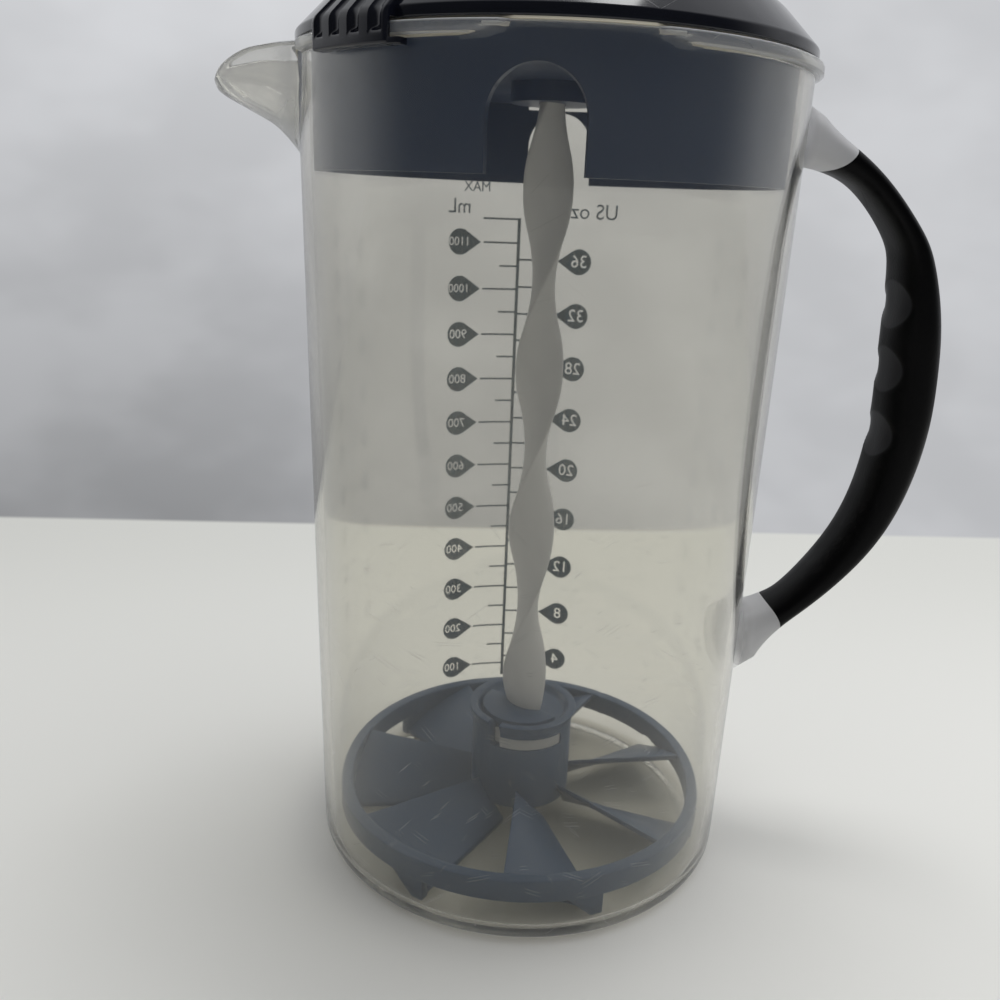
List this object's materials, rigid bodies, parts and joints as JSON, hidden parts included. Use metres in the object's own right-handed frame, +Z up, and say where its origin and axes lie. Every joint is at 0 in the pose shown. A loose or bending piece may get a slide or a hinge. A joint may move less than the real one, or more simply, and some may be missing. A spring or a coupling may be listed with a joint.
{
  "type": "mixing pitcher",
  "caption": "Clear baby formula pitcher with a grip handle, bayonet lid with pour windows, and a pumped twisted shaft that spins a mixing wheel.",
  "frame": {"origin": "centre of the jug's base on the surface it stands on", "axes": "+Z up along the jug's axis, +X towards the handle, -X towards the spout"},
  "size_m": [0.1645, 0.1068, 0.236],
  "materials": {
    "clear_plastic": "milky translucent, lightly scratched",
    "grip_rubber": "black satin",
    "gloss_black": "high gloss",
    "slate_plastic": "satin",
    "silicone": "matte",
    "milky_plastic": "satin, slightly translucent",
    "knob_black": "satin"
  },
  "bodies": {
    "jug": {"jug_body": "clear_plastic", "handle_grip": "grip_rubber"},
    "lid": {"lid_cap": "gloss_black", "lid_skirt": "slate_plastic", "lid_seal": "silicone", "shaft_guide": "slate_plastic"},
    "plunger": {"plunger_knob": "knob_black", "knob_cap": "gloss_black"},
    "mixer": {"mixing_shaft": "milky_plastic", "mixing_wheel": "slate_plastic", "shaft_head": "milky_plastic"}
  },
  "joints": [
    {"name": "lid_turn", "type": "hinge", "parent": "jug", "child": "lid", "pos_m": [0, 0, 0.1833], "axis": [0, 0, 1], "range_deg": [0, 97.9]},
    {"name": "plunger_lift", "type": "slide", "parent": "lid", "child": "plunger", "axis": [0, 0, 1], "range_m": [0, 0.14]},
    {"name": "mixer_spin", "type": "hinge", "parent": "plunger", "child": "mixer", "pos_m": [0, 0, 0.014], "axis": [0, 0, 1], "range_deg": [0, 640]}
  ],
  "couplings": [
    {"joint": "mixer_spin", "follows": "plunger_lift", "rad_per_m": 79.736}
  ]
}
